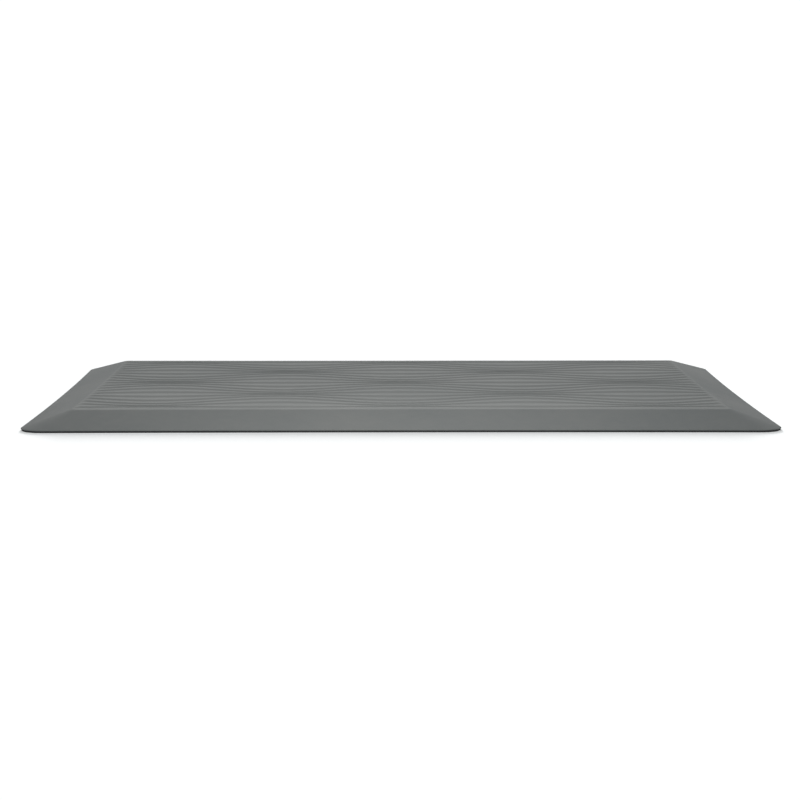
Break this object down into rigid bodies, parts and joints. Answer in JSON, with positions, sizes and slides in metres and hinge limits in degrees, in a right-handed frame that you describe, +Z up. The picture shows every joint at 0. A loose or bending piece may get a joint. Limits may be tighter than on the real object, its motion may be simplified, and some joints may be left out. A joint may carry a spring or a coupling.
{
  "type": "anti fatigue mat",
  "caption": "Rectangular anti-fatigue floor mat with four bevelled borders and a raised wave-line texture, to stand on at a desk or workbench.",
  "frame": {"origin": "middle of the underside, on the floor", "axes": "+X along the long side, +Y towards the back, +Z up through the thickness"},
  "size_m": [0.913, 0.6086, 0.0222],
  "materials": {
    "skin": "satin, finely grained moulded polyurethane",
    "foam": "matte closed-cell foam",
    "base": "matte"
  },
  "bodies": {
    "root": {"top_skin": "skin", "comfort_core": "foam", "base_sheet": "base"}
  },
  "joints": []
}
